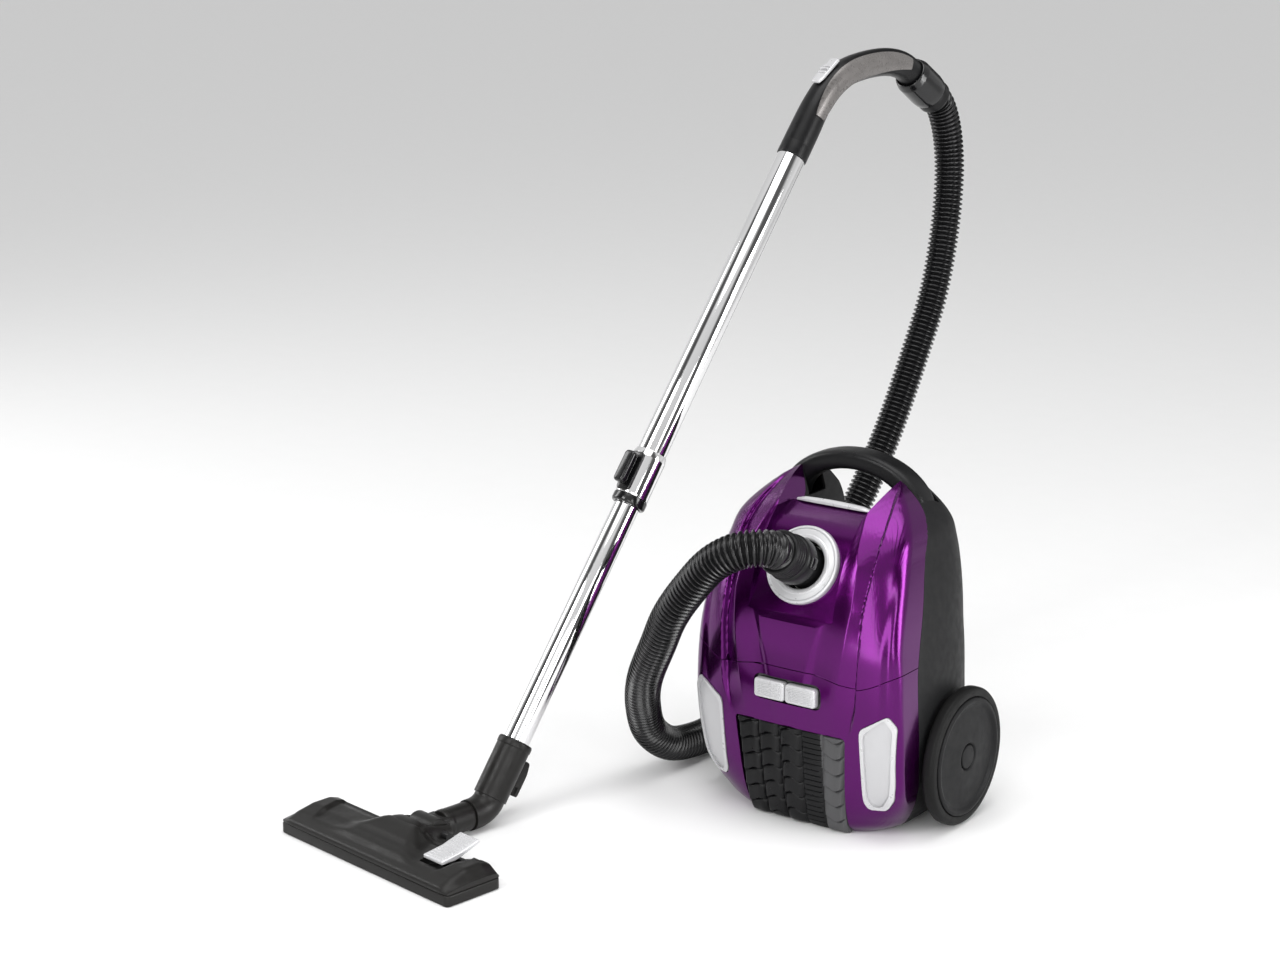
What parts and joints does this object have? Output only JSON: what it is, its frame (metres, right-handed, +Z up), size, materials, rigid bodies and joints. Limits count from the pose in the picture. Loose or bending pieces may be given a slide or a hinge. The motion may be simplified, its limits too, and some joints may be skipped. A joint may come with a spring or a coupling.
{
  "type": "canister vacuum cleaner",
  "caption": "Bagged canister vacuum cleaner stood on end, with hinged lid, wheels, flexible hose, telescopic wand and tilting floor head.",
  "frame": {"origin": "middle of the canister's flat standing base, on the floor", "axes": "+Z up as it stands on its rear end, -Y out of the glossy lid side, +X to the user's right when facing the lid"},
  "size_m": [0.5571, 0.909, 0.7547],
  "materials": {
    "purple_gloss": "deep metallic purple gloss moulding",
    "black_plastic": "satin charcoal black moulding with fine grain",
    "silver_plastic": "silver-white satin plastic",
    "black_rubber": "black flexible rubbery plastic",
    "chrome_tube": "polished chrome-plated steel tube",
    "gunmetal": "gunmetal grey satin plastic",
    "steel": "plain brushed steel",
    "white_plastic": "off-white matte plastic",
    "filter_cloth": "white non-woven filter material",
    "bag_paper": "brown dust bag paper",
    "bristle": "black nylon bristle",
    "circuit": "green circuit board"
  },
  "bodies": {
    "canister": {"base_pan": "black_plastic", "rear_cover": "purple_gloss", "carry_handle": "black_plastic", "exhaust_grille": "black_plastic", "side_insert_right": "silver_plastic", "side_insert_left": "silver_plastic", "bulkhead": "black_plastic", "motor_housing": "steel", "motor_seal": "black_rubber", "motor_filter": "filter_cloth", "exhaust_filter": "filter_cloth", "reel_frame": "black_plastic", "power_switch": "white_plastic", "control_board": "circuit", "cord_outlet": "black_rubber", "dust_bag": "bag_paper", "bag_holder": "white_plastic", "axle_right": "black_plastic", "axle_left": "black_plastic", "hose": "black_rubber", "hose_end_collar": "black_plastic"},
    "lid": {"lid": "purple_gloss", "inlet_ring": "silver_plastic", "inlet_seal": "black_rubber"},
    "lid_latch": {"lid_latch": "silver_plastic"},
    "hose_cuff": {"hose_cuff": "black_plastic"},
    "cuff_button_right": {"cuff_button_right": "black_plastic"},
    "cuff_button_left": {"cuff_button_left": "black_plastic"},
    "power_pedal": {"power_pedal": "silver_plastic"},
    "rewind_pedal": {"rewind_pedal": "silver_plastic", "brake_lever": "white_plastic"},
    "wheel_right": {"wheel_right": "black_plastic", "tyre_right": "black_rubber"},
    "wheel_left": {"wheel_left": "black_plastic", "tyre_left": "black_rubber"},
    "caster_fork": {"caster_fork": "black_plastic"},
    "caster_wheel": {"caster_wheel": "black_rubber"},
    "motor_rotor": {"motor_rotor": "steel"},
    "cord_reel": {"cord_reel": "black_plastic"},
    "wand": {"grip_tube": "black_plastic", "grip_collar": "black_plastic", "grip_panel": "gunmetal", "grip_sleeve": "black_plastic", "wand_upper": "chrome_tube", "wand_collar": "chrome_tube", "collar_ring": "black_plastic"},
    "suction_slider": {"suction_slider": "silver_plastic"},
    "wand_button": {"wand_button": "black_plastic"},
    "lower_wand": {"wand_lower": "chrome_tube", "wand_socket": "black_plastic", "park_clip": "black_plastic", "neck_elbow": "black_plastic"},
    "neck": {"head_neck": "black_plastic", "hinge_pin": "steel"},
    "floor_head": {"head_shell": "black_plastic", "sole_plate": "steel"},
    "brush_pedal": {"brush_pedal": "silver_plastic"},
    "brush_strips": {"brush_front": "bristle", "brush_rear": "bristle"}
  },
  "joints": [
    {"name": "lid_hinge", "type": "hinge", "parent": "canister", "child": "lid", "pos_m": [0, -0.1195, 0.1764], "axis": [1, 0, 0], "range_deg": [0, 70], "deforming": ["hose"]},
    {"name": "latch_lift", "type": "hinge", "parent": "lid", "child": "lid_latch", "pos_m": [0, -0.0362, 0.3248], "axis": [1, 0, 0], "range_deg": [0, 20], "stiffness_Nm_per_rad": 0.3},
    {"name": "cuff_swivel", "type": "hinge", "parent": "lid", "child": "hose_cuff", "pos_m": [0, -0.088, 0.277], "axis": [0, -0.88, 0.475], "continuous": true, "deforming": ["hose"]},
    {"name": "cuff_button_right_press", "type": "slide", "parent": "hose_cuff", "child": "cuff_button_right", "axis": [-1, 0, 0], "range_m": [0, 0.002], "stiffness_N_per_m": 1500},
    {"name": "cuff_button_left_press", "type": "slide", "parent": "hose_cuff", "child": "cuff_button_left", "axis": [1, 0, 0], "range_m": [0, 0.002], "stiffness_N_per_m": 1500},
    {"name": "power_pedal_press", "type": "slide", "parent": "canister", "child": "power_pedal", "axis": [0, 1, 0], "range_m": [0, 0.004], "stiffness_N_per_m": 1500},
    {"name": "rewind_pedal_press", "type": "slide", "parent": "canister", "child": "rewind_pedal", "axis": [0, 1, 0], "range_m": [0, 0.004], "stiffness_N_per_m": 1500},
    {"name": "wheel_right_spin", "type": "hinge", "parent": "canister", "child": "wheel_right", "pos_m": [0.135, 0.008, 0.074], "axis": [1, 0, 0], "continuous": true},
    {"name": "wheel_left_spin", "type": "hinge", "parent": "canister", "child": "wheel_left", "pos_m": [-0.135, 0.008, 0.074], "axis": [1, 0, 0], "continuous": true},
    {"name": "caster_swivel", "type": "hinge", "parent": "canister", "child": "caster_fork", "pos_m": [0, 0.06, 0.24], "axis": [0, 1, 0], "continuous": true},
    {"name": "caster_roll", "type": "hinge", "parent": "caster_fork", "child": "caster_wheel", "pos_m": [0, 0.07, 0.229], "axis": [1, 0, 0], "continuous": true},
    {"name": "motor_spin", "type": "hinge", "parent": "canister", "child": "motor_rotor", "pos_m": [0.03, -0.002, 0.07], "axis": [0, 0, 1], "continuous": true},
    {"name": "reel_spin", "type": "hinge", "parent": "canister", "child": "cord_reel", "pos_m": [-0.078, 0.002, 0.072], "axis": [1, 0, 0], "continuous": true},
    {"name": "grip_swivel", "type": "hinge", "parent": "canister", "child": "wand", "pos_m": [-0.14195, 0.38757, 0.697], "axis": [0.1392, 0.8083, -0.5721], "range_deg": [-4, 25]},
    {"name": "suction_slide", "type": "slide", "parent": "wand", "child": "suction_slider", "axis": [0.1341, 0.7785, 0.6131], "range_m": [0, 0.006]},
    {"name": "wand_button_press", "type": "slide", "parent": "wand", "child": "wand_button", "axis": [0.1376, 0.7993, -0.585], "range_m": [0, 0.002], "stiffness_N_per_m": 1500},
    {"name": "wand_telescope", "type": "slide", "parent": "wand", "child": "lower_wand", "axis": [0.0993, 0.5765, 0.811], "range_m": [0, 0.25]},
    {"name": "neck_twist", "type": "hinge", "parent": "lower_wand", "child": "neck", "pos_m": [-0.26175, -0.30819, 0.0172], "axis": [0.1697, 0.9855, 0], "range_deg": [-45, 45]},
    {"name": "head_tilt", "type": "hinge", "parent": "neck", "child": "floor_head", "pos_m": [-0.27075, -0.36042, 0.019], "axis": [0.9855, -0.1697, 0], "range_deg": [-50, 8]},
    {"name": "brush_rocker", "type": "hinge", "parent": "floor_head", "child": "brush_pedal", "pos_m": [-0.19801, -0.40947, 0.023], "axis": [0.9855, -0.1697, 0], "range_deg": [0, 10]},
    {"name": "brush_drop", "type": "slide", "parent": "floor_head", "child": "brush_strips", "axis": [0, 0, -1], "range_m": [0, 0.004]}
  ],
  "couplings": [
    {"joint": "brush_rocker", "follows": "brush_drop", "rad_per_m": 43.63}
  ]
}
